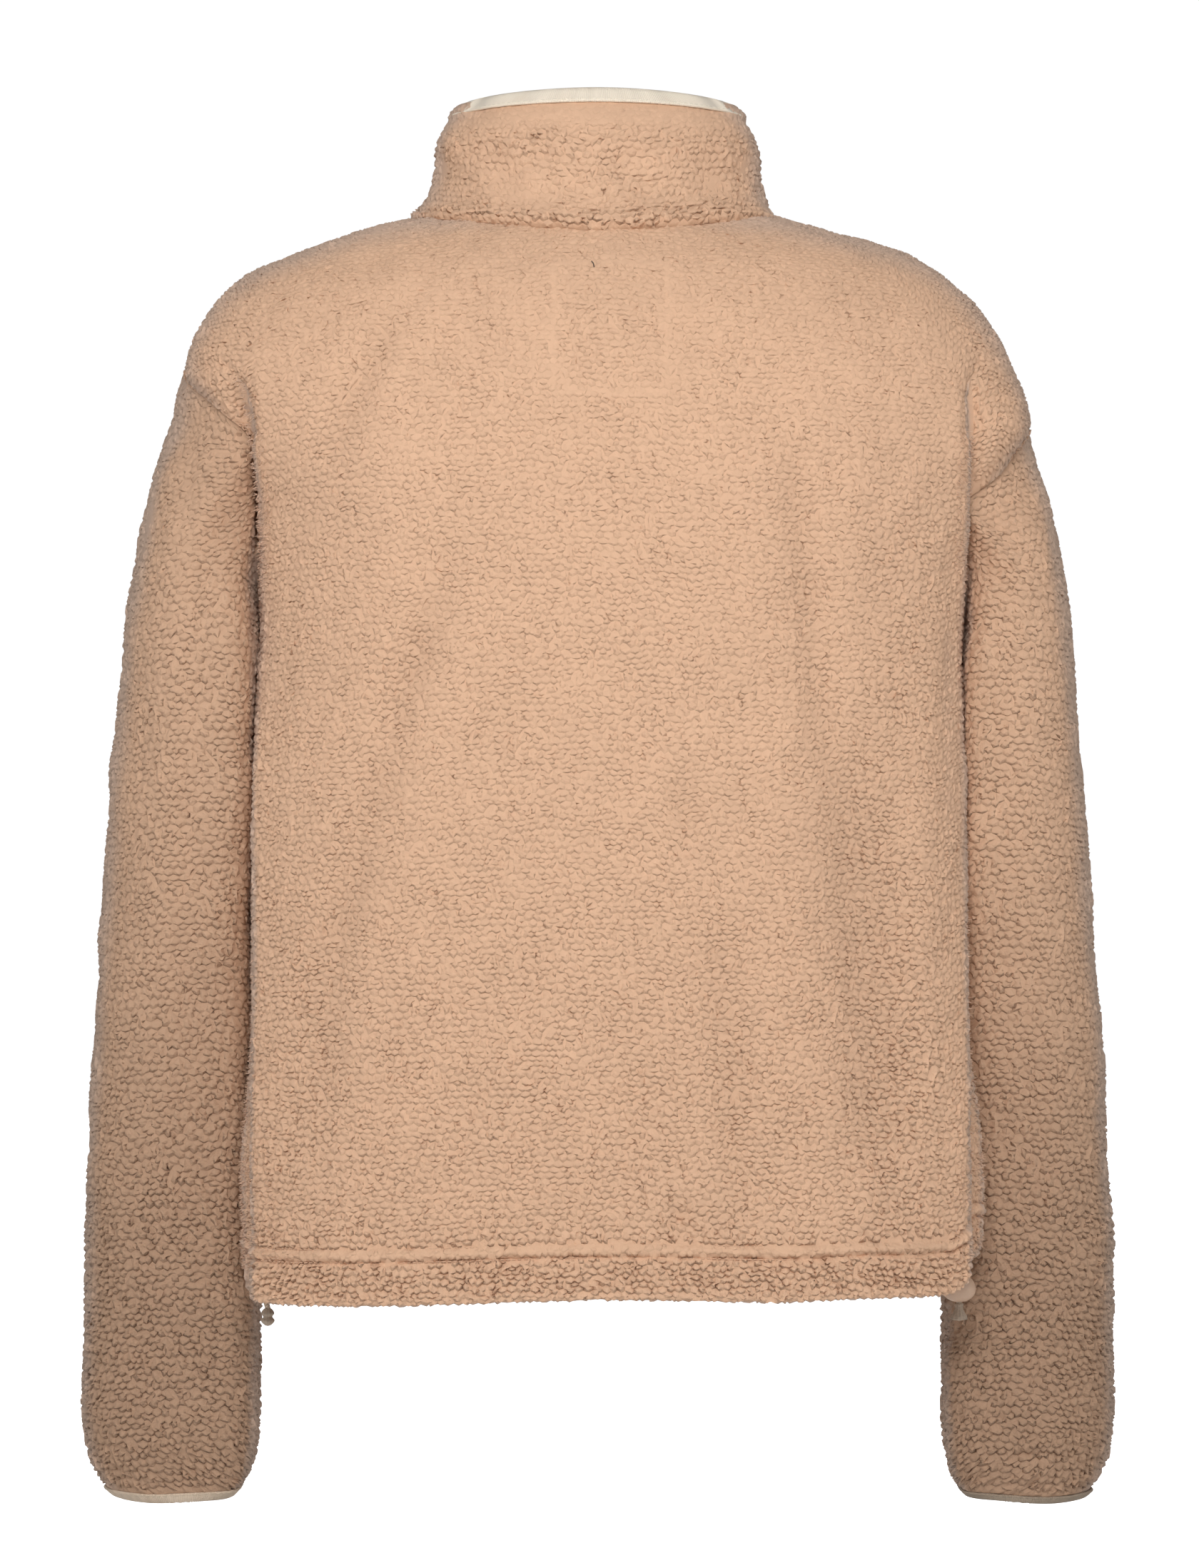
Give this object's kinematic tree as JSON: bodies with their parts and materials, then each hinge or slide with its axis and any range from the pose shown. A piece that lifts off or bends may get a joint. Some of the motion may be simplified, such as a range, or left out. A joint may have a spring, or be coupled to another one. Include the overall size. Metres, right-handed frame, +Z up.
{
  "type": "sherpa fleece pullover",
  "caption": "Thick pebbled fleece pullover, hollow and shaped as worn, with dropped shoulders, a stand collar and cuffs bound in cream, and a drawcord inside the hem.",
  "frame": {"origin": "middle of the neck, level with the neck points of the shoulders, where the wearer's shoulders or a rounded hanger hold the garment", "axes": "+X towards the wearer's left, +Y towards the wearer's back, +Z up"},
  "size_m": [0.5576, 0.234, 0.743],
  "materials": {
    "sherpa_fleece": "matte high-pile fleece",
    "cream_binding": "matte ribbed knit",
    "cream_cord": "matte woven cord",
    "cream_toggle": "satin moulded plastic"
  },
  "bodies": {
    "root": {"body_back": "sherpa_fleece", "body_front": "sherpa_fleece", "sleeve_left": "sherpa_fleece", "sleeve_right": "sherpa_fleece", "collar": "sherpa_fleece", "collar_binding": "cream_binding", "cuff_binding_left": "cream_binding", "cuff_binding_right": "cream_binding", "drawcord_left": "cream_cord", "drawcord_knot_left": "cream_cord", "drawcord_right": "cream_cord", "drawcord_knot_right": "cream_cord", "cord_toggle": "cream_toggle"}
  },
  "joints": []
}
